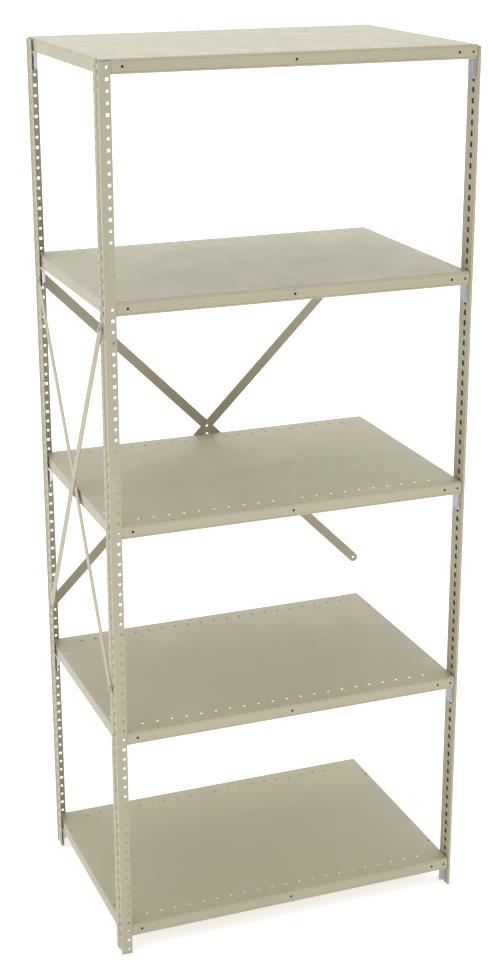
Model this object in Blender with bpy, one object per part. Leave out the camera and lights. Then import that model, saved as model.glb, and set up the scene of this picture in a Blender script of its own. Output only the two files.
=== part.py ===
"""Open clip-type steel shelving: three perforated posts, five box-formed shelves on clips, X braces.

Run with: blender --background --python part.py
Metres, +Z up, +X to the right, -Y at the front.  The origin is the bottom centre of the whole object.
"""
import math

import bmesh
import bpy
from mathutils import Vector

INCH = 0.0254
GAP = 0.0003

# Posts.  Every hole and slot follows one pitch.
POST_HEIGHT = 87 * INCH
PITCH = 1 * INCH
POST_GAUGE = 0.0019
POST_FACE_WIDTH = 0.0264
POST_SIDE_DEPTH = 0.0460
POST_BEND = 0.0028
ROUND_HOLE = 0.0071
SQUARE_HOLE = 0.0076
SQUARE_EVERY = 3
SLOT_SIZE = (0.0072, 0.0127)
SLOT_INSET = 0.0193
SIDE_HOLE = 0.0058
SIDE_HOLE_INSET = 0.0369
GROOVE_DEPTH = 0.0022
GROOVE_SPAN = (0.0040, 0.0285)
GROOVE_SLOPE = 0.0020
BOX_POST_WIDTH = 0.0071
BOX_POST_DEPTH = 2 * INCH
BOX_POST_GAUGE = 0.0013
BOX_POST_BEND = 0.0015
BOX_SLOT_SIZE = (0.0115, 0.0127)
BEND_STEPS = 3

# Shelves.
SHELF_WIDTH = 0.9090
SHELF_DEPTH = 24 * INCH
SHELF_HEIGHT = 0.0333
SHELF_GAUGE = 0.0009
TOP_BEND = 0.0024
LOWER_BEND = 0.0020
SHELF_POST_HOLES = (0, 21, 42, 63, 84)
HOLE_BELOW_TOP = 0.66 * INCH
LIP_DROP = 0.79 * SHELF_HEIGHT
LIP_RECESS = 0.0011
RETURN_WIDTH = 0.0150
UPTURN = 0.0200
UPTURN_NOTCH = 0.0300
CORNER_HOLE_INSET = 0.0122
NEXT_HOLE_INSET = 0.0480
SHELF_HOLE = 0.0064
TOP_HOLE = 0.0064
TOP_HOLE_PITCH = 1.5 * INCH
TOP_HOLE_COUNT = 21
TOP_HOLE_INSET = 1.5 * INCH
END_HOLE_INSET = 0.3 * INCH
END_HOLE_FROM_FRONT = 4 * INCH
LEFT_END_GAP = 0.0040

# Shelf clips, seen from above: u runs in from the post's side wall, v runs in from its face.
CLIP_GAUGE = 0.0015
CLIP_DROP = 0.0457
CLIP_SHOULDER = 0.0050
CLIP_REACH = 0.0508
CLIP_FRONT_TAB = 0.0090
CLIP_REAR_TAB = 0.0200
CLIP_REAR_STANDOFF = 0.0036
BOX_CLIP_START = 0.0089
BOX_CLIP_BEND = 0.0240
BOX_CLIP_WING = 0.0132
LUG_THICKNESS = 0.0024
LUG_HEIGHTS = (0.0090, 0.0040)

# Sway braces and their bolts.
BRACE_WIDTH = 1 * INCH
BRACE_GAUGE = 0.0020
BRACE_HOLE = 0.0071
BRACE_POST_HOLES = (23, 58)
BRACE_END_FLAT = 0.0400
BRACE_CROSS_FLAT = 0.0300
BOLT_DIAMETER = 0.0050
BOLT_HEAD = (0.0090, 0.0020)
NUT_SIZE = (0.0088, 0.0036)
BOLT_PROUD = 0.0015

# Places that follow from the sizes above.  The shelf's front left corner is at x = 0, y = 0 here.
SIDE_INNER_X = -LEFT_END_GAP
SIDE_OUTER_X = SIDE_INNER_X - POST_GAUGE
FACE_INNER_Y = -GAP
FACE_OUTER_Y = FACE_INNER_Y - POST_GAUGE
BACK_INNER_Y = SHELF_DEPTH + GAP
BACK_OUTER_Y = BACK_INNER_Y + POST_GAUGE
BOX_POST_X = SHELF_WIDTH + GAP
FREE_END_X = SHELF_WIDTH - CORNER_HOLE_INSET


def hole_height(index):
    """Height of a post's face hole, counted down from the top."""
    return POST_HEIGHT - PITCH * (index + 0.5)


def slot_height(index):
    """Height of a post's side slot, half a pitch off the face holes."""
    return POST_HEIGHT - PITCH * index


# Materials ---------------------------------------------------------------------------------------

def material(name, colour, roughness, metallic):
    mat = bpy.data.materials.new(name)
    mat.use_nodes = True
    shader = mat.node_tree.nodes["Principled BSDF"]
    shader.inputs["Base Color"].default_value = (*colour, 1.0)
    shader.inputs["Roughness"].default_value = roughness
    shader.inputs["Metallic"].default_value = metallic
    mat.diffuse_color = (*colour, 1.0)
    return mat


def make_materials():
    return {
        "post": material("post_enamel", (0.47, 0.43, 0.33), 0.45, 0.0),
        "shelf": material("shelf_enamel", (0.52, 0.48, 0.38), 0.45, 0.0),
        "brace": material("brace_enamel", (0.42, 0.39, 0.29), 0.50, 0.0),
        "zinc": material("zinc_plate", (0.66, 0.65, 0.70), 0.35, 1.0),
    }


# Mesh helpers ------------------------------------------------------------------------------------

def finish_mesh(name, bm):
    bmesh.ops.remove_doubles(bm, verts=bm.verts, dist=0.000001)
    bmesh.ops.recalc_face_normals(bm, faces=bm.faces)
    mesh = bpy.data.meshes.new(name)
    bm.to_mesh(mesh)
    bm.free()
    return mesh


def place(name, mesh, mat, location=(0.0, 0.0, 0.0)):
    obj = bpy.data.objects.new(name, mesh)
    obj.location = location
    if not mesh.materials:
        mesh.materials.append(mat)
    bpy.context.collection.objects.link(obj)
    return obj


def add_prism(bm, base, offset):
    """Extrude a flat outline of 3-D points by an offset vector and close it."""
    offset = Vector(offset)
    low = [bm.verts.new(Vector(point)) for point in base]
    high = [bm.verts.new(Vector(point) + offset) for point in base]
    bm.faces.new(low)
    bm.faces.new(high)
    for i in range(len(base)):
        j = (i + 1) % len(base)
        bm.faces.new((low[i], low[j], high[j], high[i]))


def add_box(bm, low, high):
    x0, y0, z0 = low
    x1, y1, z1 = high
    base = [(x0, y0, z0), (x1, y0, z0), (x1, y1, z0), (x0, y1, z0)]
    add_prism(bm, base, (0.0, 0.0, z1 - z0))


def add_bar(bm, centre, axis, size, length, sides=4, turn=None):
    """A prism centred on a point, with a regular or rectangular section across its axis.

    A number for size is the distance across the flats; a pair is a rectangle's width and height.
    """
    axis = Vector(axis)
    centre = Vector(centre)
    across = Vector((0, 1, 0)) if abs(axis.x) > 0.5 else Vector((1, 0, 0))
    up = Vector((0, 1, 0)) if abs(axis.z) > 0.5 else Vector((0, 0, 1))
    if isinstance(size, tuple):
        half_w, half_h = size[0] / 2, size[1] / 2
        corners = [(-half_w, -half_h), (half_w, -half_h), (half_w, half_h), (-half_w, half_h)]
    else:
        radius = size / 2 / math.cos(math.pi / sides)
        start = math.pi / sides if turn is None else turn
        angles = [start + 2 * math.pi * i / sides for i in range(sides)]
        corners = [(radius * math.cos(a), radius * math.sin(a)) for a in angles]
    base = [centre + across * a + up * b - axis * length / 2 for a, b in corners]
    add_prism(bm, base, axis * length)


def combine(name, mesh, operation, tool):
    """The Boolean of one mesh with another, as a new mesh."""
    body = bpy.data.objects.new(name, mesh)
    other = bpy.data.objects.new(name + "_tool", tool)
    bpy.context.collection.objects.link(body)
    bpy.context.collection.objects.link(other)
    modifier = body.modifiers.new("Boolean", "BOOLEAN")
    modifier.operation = operation
    modifier.object = other
    modifier.solver = "EXACT"
    graph = bpy.context.evaluated_depsgraph_get()
    result = bpy.data.meshes.new_from_object(body.evaluated_get(graph))
    result.name = name
    bpy.data.objects.remove(body)
    bpy.data.objects.remove(other)
    bpy.data.meshes.remove(mesh)
    bpy.data.meshes.remove(tool)
    return result


def thicken(name, mesh, thickness, offset):
    """The closed sheet that Solidify makes from an open surface."""
    sheet = bpy.data.objects.new(name, mesh)
    bpy.context.collection.objects.link(sheet)
    modifier = sheet.modifiers.new("Solidify", "SOLIDIFY")
    modifier.thickness = thickness
    modifier.offset = offset
    modifier.use_even_offset = True
    graph = bpy.context.evaluated_depsgraph_get()
    result = bpy.data.meshes.new_from_object(sheet.evaluated_get(graph))
    result.name = name
    bpy.data.objects.remove(sheet)
    bpy.data.meshes.remove(mesh)
    return result


# Posts -------------------------------------------------------------------------------------------

def add_face_holes(bm, x, y):
    """One column of holes through a post's face: every third one is square, the others round."""
    for index in range(int(POST_HEIGHT / PITCH)):
        centre = (x, y, hole_height(index))
        depth = 4 * POST_GAUGE
        if index % SQUARE_EVERY == 1:
            add_bar(bm, centre, (0, 1, 0), (SQUARE_HOLE, SQUARE_HOLE), depth)
        else:
            add_bar(bm, centre, (0, 1, 0), ROUND_HOLE, depth, sides=6, turn=0.0)


def add_side_slots(bm, x, y, size, depth):
    """One column of slots.  The first and the last are cut in half by the post's ends."""
    for index in range(int(POST_HEIGHT / PITCH) + 1):
        add_bar(bm, (x, y, slot_height(index)), (1, 0, 0), size, depth)


def add_side_holes(bm, x, y, depth):
    """The round holes that the side braces are bolted through."""
    for index in BRACE_POST_HOLES:
        add_bar(bm, (x, y, hole_height(index)), (1, 0, 0), SIDE_HOLE, depth, sides=8)


def groove_profile(x, spread):
    """One side of the groove that is pressed into a side wall, as (x, distance from the face) points."""
    start, end = GROOVE_SPAN
    return [(x, start - spread), (x + GROOVE_DEPTH, start + GROOVE_SLOPE - spread),
            (x + GROOVE_DEPTH, end - GROOVE_SLOPE + spread), (x, end + spread)]


def quarter_turn(steps=BEND_STEPS):
    """The angles of a bend's facets, from 0 to 90 degrees."""
    return [math.pi / 2 * i / steps for i in range(steps + 1)]


def angle_post_mesh(name, corner_y, inward):
    """An angle post on the left: a face across the front or back, and a grooved side wall inward."""
    x0, x1 = SIDE_OUTER_X, SIDE_OUTER_X + POST_FACE_WIDTH
    y0 = corner_y
    y1 = corner_y + inward * POST_GAUGE
    y2 = corner_y + inward * POST_SIDE_DEPTH
    bend_x, bend_y = x0 + POST_BEND, y0 + inward * POST_BEND

    def bend_point(radius, angle):
        return (bend_x - radius * math.cos(angle), bend_y - inward * radius * math.sin(angle))

    outer = [bend_point(POST_BEND, a) for a in quarter_turn()]
    inner = [bend_point(POST_BEND - POST_GAUGE, a) for a in reversed(quarter_turn())]
    spread = POST_GAUGE * math.tan(math.atan2(GROOVE_DEPTH, GROOVE_SLOPE) / 2)
    inner += [(x, y1 + inward * v) for x, v in groove_profile(SIDE_INNER_X, spread)]
    groove = [(x, y1 + inward * v) for x, v in reversed(groove_profile(SIDE_OUTER_X, 0.0))]
    outline = outer + [(x1, y0), (x1, y1)] + inner + [(SIDE_INNER_X, y2), (x0, y2)] + groove
    bm = bmesh.new()
    add_prism(bm, [(x, y, 0.0) for x, y in outline], (0.0, 0.0, POST_HEIGHT))
    body = finish_mesh(name, bm)
    tools = bmesh.new()
    add_face_holes(tools, CORNER_HOLE_INSET, (y0 + y1) / 2)
    wall_x = (SIDE_OUTER_X + SIDE_INNER_X) / 2
    add_side_slots(tools, wall_x + GROOVE_DEPTH, y1 + inward * SLOT_INSET, SLOT_SIZE, 4 * POST_GAUGE)
    add_side_holes(tools, wall_x, y1 + inward * SIDE_HOLE_INSET, 4 * POST_GAUGE)
    return combine(name, body, "DIFFERENCE", finish_mesh(name + "_holes", tools))


def box_post_mesh(name):
    """The narrow closed post at the front right, open at both ends, slotted on its inner side."""
    y1 = FACE_OUTER_Y + BOX_POST_DEPTH
    outline = []
    for side_x, side_y in ((1, 1), (-1, 1), (-1, -1), (1, -1)):
        centre_x = BOX_POST_X + BOX_POST_WIDTH / 2 + side_x * (BOX_POST_WIDTH / 2 - BOX_POST_BEND)
        centre_y = (FACE_OUTER_Y + y1) / 2 + side_y * (BOX_POST_DEPTH / 2 - BOX_POST_BEND)
        angles = quarter_turn() if side_x == side_y else reversed(quarter_turn())
        outline += [(centre_x + side_x * BOX_POST_BEND * math.cos(a),
                     centre_y + side_y * BOX_POST_BEND * math.sin(a), 0.0) for a in angles]
    bm = bmesh.new()
    add_prism(bm, outline, (0.0, 0.0, POST_HEIGHT))
    body = finish_mesh(name, bm)
    tools = bmesh.new()
    low = (BOX_POST_X + BOX_POST_GAUGE, FACE_OUTER_Y + BOX_POST_GAUGE, -PITCH)
    high = (BOX_POST_X + BOX_POST_WIDTH - BOX_POST_GAUGE, y1 - BOX_POST_GAUGE, POST_HEIGHT + PITCH)
    add_box(tools, low, high)
    body = combine(name, body, "DIFFERENCE", finish_mesh(name + "_hollow", tools))
    slots = bmesh.new()
    slot_y = FACE_OUTER_Y + POST_GAUGE + SLOT_INSET
    add_side_slots(slots, BOX_POST_X, slot_y, BOX_SLOT_SIZE, 3 * BOX_POST_GAUGE)
    return combine(name, body, "DIFFERENCE", finish_mesh(name + "_slots", slots))


def make_posts(mats):
    place("front_left_post", angle_post_mesh("front_left_post", FACE_OUTER_Y, 1), mats["post"])
    place("rear_left_post", angle_post_mesh("rear_left_post", BACK_OUTER_Y, -1), mats["post"])
    place("front_right_post", box_post_mesh("front_right_post"), mats["post"])


# Shelves -----------------------------------------------------------------------------------------

def add_top_holes(bm):
    """A row of small holes near the front and rear edges of the top, and two near each end."""
    places = []
    for i in range(TOP_HOLE_COUNT):
        x = SHELF_WIDTH / 2 + (i - (TOP_HOLE_COUNT - 1) / 2) * TOP_HOLE_PITCH
        places += [(x, TOP_HOLE_INSET), (x, SHELF_DEPTH - TOP_HOLE_INSET)]
    for x in (END_HOLE_INSET, SHELF_WIDTH - END_HOLE_INSET):
        places += [(x, END_HOLE_FROM_FRONT), (x, SHELF_DEPTH - END_HOLE_FROM_FRONT)]
    for x, y in places:
        add_bar(bm, (x, y, -SHELF_GAUGE / 2), (0, 0, 1), TOP_HOLE, 3 * SHELF_GAUGE, sides=6)


def add_shelf_holes(bm):
    """Holes along the front and rear flanges, and two in each end flange."""
    z = -HOLE_BELOW_TOP
    columns = (CORNER_HOLE_INSET, NEXT_HOLE_INSET, SHELF_WIDTH / 2,
               SHELF_WIDTH - NEXT_HOLE_INSET, SHELF_WIDTH - CORNER_HOLE_INSET)
    for x in columns:
        for y in (0.0, SHELF_DEPTH):
            add_bar(bm, (x, y, z), (0, 1, 0), SHELF_HOLE, 4 * SHELF_GAUGE, sides=6)
    for x in (0.0, SHELF_WIDTH):
        for y in (NEXT_HOLE_INSET, SHELF_DEPTH - NEXT_HOLE_INSET):
            add_bar(bm, (x, y, z), (1, 0, 0), SHELF_HOLE, 4 * SHELF_GAUGE, sides=6)


def add_upturn_notches(bm):
    """The upturned edges stop short of the four corners."""
    low, high = RETURN_WIDTH - 2 * SHELF_GAUGE, UPTURN_NOTCH
    bottom = -SHELF_HEIGHT + 1.5 * SHELF_GAUGE
    for x0, x1 in ((low, high), (SHELF_WIDTH - high, SHELF_WIDTH - low)):
        for y0, y1 in ((low, high), (SHELF_DEPTH - high, SHELF_DEPTH - low)):
            add_box(bm, (x0, y0, bottom), (x1, y1, bottom + UPTURN))


def shelf_mesh():
    """A pan bent down on four sides, then in along the bottom, then up.  Its top is at z = 0.

    The front and rear flanges have a lip set back a little along their lower edge.
    """
    rings = []
    for angle in quarter_turn():
        inset = TOP_BEND * (1 - math.sin(angle))
        rings.append((inset, inset, -TOP_BEND * (1 - math.cos(angle))))
    rings.append((0.0, 0.0, -LIP_DROP))
    rings.append((0.0, LIP_RECESS, -LIP_DROP - LIP_RECESS))
    for angle in quarter_turn():
        inset = LOWER_BEND * (1 - math.cos(angle))
        z = -SHELF_HEIGHT + LOWER_BEND * (1 - math.sin(angle))
        rings.append((inset, LIP_RECESS + inset, z))
    rings.append((RETURN_WIDTH, RETURN_WIDTH, -SHELF_HEIGHT))
    rings.append((RETURN_WIDTH, RETURN_WIDTH, -SHELF_HEIGHT + UPTURN))
    bm = bmesh.new()
    loops = []
    for inset_x, inset_y, z in rings:
        x0, x1 = inset_x, SHELF_WIDTH - inset_x
        y0, y1 = inset_y, SHELF_DEPTH - inset_y
        corners = ((x0, y0), (x1, y0), (x1, y1), (x0, y1))
        loops.append([bm.verts.new((x, y, z)) for x, y in corners])
    bm.faces.new(loops[0])
    for upper, lower in zip(loops, loops[1:]):
        for i in range(4):
            j = (i + 1) % 4
            bm.faces.new((upper[i], lower[i], lower[j], upper[j]))
    surface = finish_mesh("shelf", bm)
    sheet = thicken("shelf", surface, SHELF_GAUGE, -1.0)
    tools = bmesh.new()
    add_shelf_holes(tools)
    add_top_holes(tools)
    add_upturn_notches(tools)
    return combine("shelf", sheet, "DIFFERENCE", finish_mesh("shelf_holes", tools))


def shelf_top(level):
    return hole_height(SHELF_POST_HOLES[level]) + HOLE_BELOW_TOP


def make_shelves(mats):
    mesh = shelf_mesh()
    for level in range(len(SHELF_POST_HOLES)):
        place(f"shelf_{level + 1}", mesh, mats["shelf"], (0.0, 0.0, shelf_top(level)))


# Clips -------------------------------------------------------------------------------------------

def clip_mesh(name, path, tops, to_world, lug_v):
    """A bent strip that follows a plan path of (u, v) points, with lugs.

    Its top is at z = 0, and tops gives how far each point of the upper edge is below that.
    """
    bm = bmesh.new()
    columns = []
    for (u, v), top in zip(path, tops):
        low = bm.verts.new(to_world(u, v, -CLIP_DROP))
        high = bm.verts.new(to_world(u, v, -top))
        columns.append((low, high))
    for (low_a, high_a), (low_b, high_b) in zip(columns, columns[1:]):
        bm.faces.new((low_a, low_b, high_b, high_a))
    strip = thicken(name, finish_mesh(name, bm), CLIP_GAUGE, 0.0)
    lugs = bmesh.new()
    add_lugs(lugs, to_world, lug_v)
    return combine(name, strip, "UNION", finish_mesh(name + "_lugs", lugs))


def add_lugs(bm, to_world, lug_v):
    """Two lugs that fill part of the post's slots, the lower one at the top of its slot."""
    clip_top = HOLE_BELOW_TOP - SHELF_HEIGHT - GAP
    upper_lug = -1.5 * PITCH - clip_top
    lower_lug = upper_lug - PITCH + SLOT_SIZE[1] / 2 - GAP - LUG_HEIGHTS[1] / 2
    for z, height in zip((upper_lug, lower_lug), LUG_HEIGHTS):
        outer, root = -POST_GAUGE, GAP + CLIP_GAUGE / 2
        front, rear = lug_v - LUG_THICKNESS / 2, lug_v + LUG_THICKNESS / 2
        plan = ((outer, front), (root, front), (root, rear), (outer, rear))
        corners = [to_world(u, v, z - height / 2) for u, v in plan]
        add_prism(bm, corners, (0.0, 0.0, height))


def make_clips(mats):
    """Clips hooked into the side slots of each post.  The shelves rest on their upper edges."""
    near = GAP + CLIP_GAUGE / 2

    def front_left(u, v, z):
        return Vector((SIDE_INNER_X + GROOVE_DEPTH + u, FACE_INNER_Y + v, z))

    def rear_left(u, v, z):
        return Vector((SIDE_INNER_X + GROOVE_DEPTH + u, BACK_INNER_Y - v, z))

    def front_right(u, v, z):
        return Vector((BOX_POST_X - u, FACE_INNER_Y + v, z))

    shoulder = CLIP_SHOULDER
    front_path = [(CLIP_FRONT_TAB, near), (near, near), (near, CLIP_REACH)]
    stand = CLIP_REAR_STANDOFF
    rear_path = [(CLIP_REAR_TAB, stand), (near, stand), (near, CLIP_REACH)]
    box_path = [(near, BOX_CLIP_START), (near, BOX_CLIP_BEND), (BOX_CLIP_WING, BOX_CLIP_BEND)]
    meshes = {
        "front_left": clip_mesh("clip_front_left", front_path, (0.0, 0.0, shoulder), front_left,
                                SLOT_INSET),
        "rear_left": clip_mesh("clip_rear_left", rear_path, (0.0, 0.0, shoulder), rear_left,
                               SLOT_INSET),
        "front_right": clip_mesh("clip_front_right", box_path, (0.0, 0.0, 0.0), front_right,
                                 SLOT_INSET),
    }
    for level in range(len(SHELF_POST_HOLES)):
        z = shelf_top(level) - SHELF_HEIGHT - GAP
        for corner, mesh in meshes.items():
            place(f"clip_{level + 1}_{corner}", mesh, mats["zinc"], (0.0, 0.0, z))


# Braces ------------------------------------------------------------------------------------------

def brace_outline(length):
    """Stations along a strap: a half-round end, straight sides, then the other half-round end."""
    radius = BRACE_WIDTH / 2
    steps = 6
    arc = [math.pi / 2 * i / (steps / 2) for i in range(steps + 1)]
    left = [(-radius * math.sin(a), radius * math.cos(a)) for a in arc]
    right = [(length + radius * math.sin(a), -radius * math.cos(a)) for a in arc]
    return left, right


def strap_mesh(name, start, end, face_out, bow):
    """A flat strap between two bolt centres.

    face_out is the unit vector away from the posts.  bow lifts the strap's middle off the plane of
    its ends.
    """
    start = Vector(start)
    along = Vector(end) - start
    length = along.length
    along.normalize()
    out = Vector(face_out)
    across = out.cross(along)
    middle = length / 2
    flats = [(0.0, 0.0), (BRACE_END_FLAT, 0.0), (middle - BRACE_CROSS_FLAT, bow),
             (middle + BRACE_CROSS_FLAT, bow), (length - BRACE_END_FLAT, 0.0), (length, 0.0)]
    left, right = brace_outline(length)
    radius = BRACE_WIDTH / 2

    def point(s, t, lift):
        return start + along * s + across * t + out * lift

    bm = bmesh.new()
    stations = [[bm.verts.new(point(s, t, lift)) for t in (radius, -radius)] for s, lift in flats]
    cap_left = [bm.verts.new(point(s, t, 0.0)) for s, t in left[1:-1]]
    cap_right = [bm.verts.new(point(s, t, 0.0)) for s, t in right[1:-1]]
    bm.faces.new([stations[0][0]] + cap_left + [stations[0][1]])
    bm.faces.new([stations[-1][1]] + cap_right + [stations[-1][0]])
    for (a, b), (c, d) in zip(stations, stations[1:]):
        bm.faces.new((a, b, d, c))
    surface = finish_mesh(name, bm)
    if surface.polygons[0].normal.dot(out) < 0:
        surface.flip_normals()
    strap = thicken(name, surface, BRACE_GAUGE, 1.0)
    tools = bmesh.new()
    for s in (0.0, middle, length):
        lift = bow if s == middle else 0.0
        add_bar(tools, point(s, 0.0, lift), out, BRACE_HOLE, 8 * BRACE_GAUGE, sides=8)
    return combine(name, strap, "DIFFERENCE", finish_mesh(name + "_holes", tools))


def make_braces(mats):
    """Crossed straps behind the posts and outside the left end.  The back pair's right ends are free."""
    upper, lower = (hole_height(index) for index in BRACE_POST_HOLES)
    y = BACK_OUTER_Y + GAP
    clear = BRACE_GAUGE + 2 * GAP
    back = (0.0, 1.0, 0.0)
    rising = strap_mesh("back_brace_rising", (CORNER_HOLE_INSET, y, lower), (FREE_END_X, y, upper),
                        back, 0.0)
    falling = strap_mesh("back_brace_falling", (CORNER_HOLE_INSET, y, upper), (FREE_END_X, y, lower),
                         back, clear)
    place("back_brace_rising", rising, mats["brace"])
    place("back_brace_falling", falling, mats["brace"])
    front = FACE_INNER_Y + SIDE_HOLE_INSET
    rear = BACK_INNER_Y - SIDE_HOLE_INSET
    x = SIDE_OUTER_X - GAP
    left = (-1.0, 0.0, 0.0)
    rising = strap_mesh("side_brace_rising", (x, front, lower), (x, rear, upper), left, -clear / 2)
    falling = strap_mesh("side_brace_falling", (x, front, upper), (x, rear, lower), left, clear / 2)
    place("side_brace_rising", rising, mats["brace"])
    place("side_brace_falling", falling, mats["brace"])


# Bolts and nuts ----------------------------------------------------------------------------------

def bolt_mesh(name, axis):
    """A thin round-headed bolt.  Its head's underside is at the origin and its shank runs along axis."""
    head_width, head_height = BOLT_HEAD
    grip = POST_GAUGE + GAP + BRACE_GAUGE + GAP
    reach = GAP + grip + NUT_SIZE[1] + BOLT_PROUD
    profile = [(0.0, -head_height), (head_width * 0.30, -head_height), (head_width / 2, -head_height / 2),
               (head_width / 2, 0.0), (BOLT_DIAMETER / 2, 0.0), (BOLT_DIAMETER / 2, reach), (0.0, reach)]
    bm = bmesh.new()
    axis = Vector(axis)
    across = Vector((0, 0, 1))
    verts = [bm.verts.new(across * radius + axis * height) for radius, height in profile]
    edges = [bm.edges.new(pair) for pair in zip(verts, verts[1:])]
    bmesh.ops.spin(bm, geom=verts + edges, axis=axis, cent=(0, 0, 0), angle=2 * math.pi, steps=10)
    mesh = finish_mesh(name, bm)
    mesh.shade_smooth()
    mesh.set_sharp_from_angle(angle=math.radians(40))
    return mesh


def nut_mesh(name, axis):
    """A hexagon nut with a clearance bore, standing on the origin along axis."""
    width, height = NUT_SIZE
    axis = Vector(axis)
    body = bmesh.new()
    add_bar(body, axis * height / 2, axis, width, height, sides=6)
    bore = bmesh.new()
    add_bar(bore, axis * height / 2, axis, BOLT_DIAMETER + 2 * GAP, 2 * height, sides=10)
    return combine(name, finish_mesh(name, body), "DIFFERENCE", finish_mesh(name + "_bore", bore))


def make_fasteners(mats):
    """Bolts that clamp each brace end to its post, heads inside the posts and nuts outside."""
    grip = POST_GAUGE + GAP + BRACE_GAUGE + GAP
    upper, lower = (hole_height(index) for index in BRACE_POST_HOLES)
    side_bolt = bolt_mesh("side_bolt", (-1, 0, 0))
    side_nut = nut_mesh("side_nut", (-1, 0, 0))
    back_bolt = bolt_mesh("back_bolt", (0, 1, 0))
    back_nut = nut_mesh("back_nut", (0, 1, 0))
    head_x = SIDE_INNER_X + GAP
    ends = {"front": FACE_INNER_Y + SIDE_HOLE_INSET, "rear": BACK_INNER_Y - SIDE_HOLE_INSET}
    for end, y in ends.items():
        for height, z in (("upper", upper), ("lower", lower)):
            place(f"side_bolt_{end}_{height}", side_bolt, mats["zinc"], (head_x, y, z))
            place(f"side_nut_{end}_{height}", side_nut, mats["zinc"], (head_x - GAP - grip, y, z))
    head_y = BACK_INNER_Y - GAP
    for height, z in (("upper", upper), ("lower", lower)):
        place(f"back_bolt_{height}", back_bolt, mats["zinc"], (CORNER_HOLE_INSET, head_y, z))
        place(f"back_nut_{height}", back_nut, mats["zinc"],
              (CORNER_HOLE_INSET, head_y + GAP + grip, z))


# Assembly ----------------------------------------------------------------------------------------

def stand_on_origin():
    """Move every object so that the bottom centre of the whole object is at the origin."""
    bpy.context.view_layer.update()
    points = [obj.matrix_world @ vert.co for obj in bpy.data.objects for vert in obj.data.vertices]
    xs, ys, zs = zip(*points)
    shift = Vector(((min(xs) + max(xs)) / 2, (min(ys) + max(ys)) / 2, min(zs)))
    for obj in bpy.data.objects:
        obj.location -= shift


def main():
    for obj in list(bpy.data.objects):
        bpy.data.objects.remove(obj)
    mats = make_materials()
    make_posts(mats)
    make_shelves(mats)
    make_clips(mats)
    make_braces(mats)
    make_fasteners(mats)
    stand_on_origin()


main()
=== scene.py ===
import math

import bmesh
import bpy
from mathutils import Matrix, Vector
from mathutils.geometry import delaunay_2d_cdt


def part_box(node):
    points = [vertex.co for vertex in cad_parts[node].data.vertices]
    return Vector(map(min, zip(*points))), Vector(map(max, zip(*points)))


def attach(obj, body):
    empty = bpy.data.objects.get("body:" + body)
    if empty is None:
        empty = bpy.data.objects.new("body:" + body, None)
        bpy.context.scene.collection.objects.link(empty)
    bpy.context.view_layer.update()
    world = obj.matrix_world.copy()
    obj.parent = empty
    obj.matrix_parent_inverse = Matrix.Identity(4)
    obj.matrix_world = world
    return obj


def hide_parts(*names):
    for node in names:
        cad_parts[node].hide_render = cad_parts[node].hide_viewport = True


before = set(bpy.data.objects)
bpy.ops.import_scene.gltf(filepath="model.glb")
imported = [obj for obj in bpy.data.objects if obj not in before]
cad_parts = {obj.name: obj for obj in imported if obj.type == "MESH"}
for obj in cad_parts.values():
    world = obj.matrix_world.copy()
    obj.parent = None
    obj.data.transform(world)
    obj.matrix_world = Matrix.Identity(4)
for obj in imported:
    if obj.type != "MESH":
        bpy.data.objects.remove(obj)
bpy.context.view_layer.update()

INCH = 0.0254
GAP = 0.0003

# Places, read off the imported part.  X runs right, Y runs back, Z runs up.
SHELF_LOW, SHELF_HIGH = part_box("shelf_1")
FRONT_LEFT_LOW, FRONT_LEFT_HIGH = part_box("front_left_post")
REAR_LEFT_LOW, REAR_LEFT_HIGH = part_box("rear_left_post")
BOX_POST_LOW, BOX_POST_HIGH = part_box("front_right_post")
SHELF_WIDTH = SHELF_HIGH.x - SHELF_LOW.x
SHELF_DEPTH = SHELF_HIGH.y - SHELF_LOW.y
SHELF_HEIGHT = SHELF_HIGH.z - SHELF_LOW.z
POST_HEIGHT = FRONT_LEFT_HIGH.z
LEVELS = 5

# Posts.
PITCH = 1 * INCH
POST_GAUGE = 0.0019
POST_BEND = 0.0028
ROUND_HOLE = 0.0071
SQUARE_HOLE = 0.0076
SQUARE_EVERY = 3
SQUARE_CORNER = 0.0008
SLOT_WIDTH = 0.0072
SLOT_HEIGHT = 0.0127
SLOT_CORNER = 0.0012
SLOT_INSET = 0.0193
SIDE_HOLE = 0.0058
SIDE_HOLE_INSET = 0.0369
GROOVE_DEPTH = 0.0022
GROOVE_SPAN = (0.0040, 0.0285)
GROOVE_SLOPE = 0.0020
BOX_POST_GAUGE = 0.0013
BOX_POST_BEND = 0.0016
BOX_SLOT_WIDTH = 0.0115
BOX_POST_SEAM = 0.0004
BOX_POST_SEAM_AT = 0.82

# Shelves.
SHELF_GAUGE = 0.0009
HOLE_BELOW_TOP = 0.66 * INCH
TOP_BEND = 0.0024
LOWER_BEND = 0.0020
SHELF_CORNER = 0.0018
SHARP_CORNER = 0.0003
LIP_DROP = 0.79 * SHELF_HEIGHT
LIP_RECESS = 0.0011
LIP_SHADOW = 0.0007
EDGE_LINE_DEPTH = 0.0007
EDGE_LINE = (0.0004, 0.0011, 0.0024, 0.0032)
RETURN_WIDTH = 0.0150
RETURN_BEND = 0.0020
UPTURN = 0.0200
UPTURN_NOTCH = 0.0300
CORNER_HOLE_INSET = 0.0122
NEXT_HOLE_INSET = 0.0480
SHELF_HOLE = 0.0064
TOP_HOLE = 0.0064
TOP_HOLE_PITCH = 1.5 * INCH
TOP_HOLE_COUNT = 21
TOP_HOLE_INSET = 1.5 * INCH
END_HOLE_INSET = 0.3 * INCH
END_HOLE_FROM_FRONT = 4 * INCH

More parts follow.
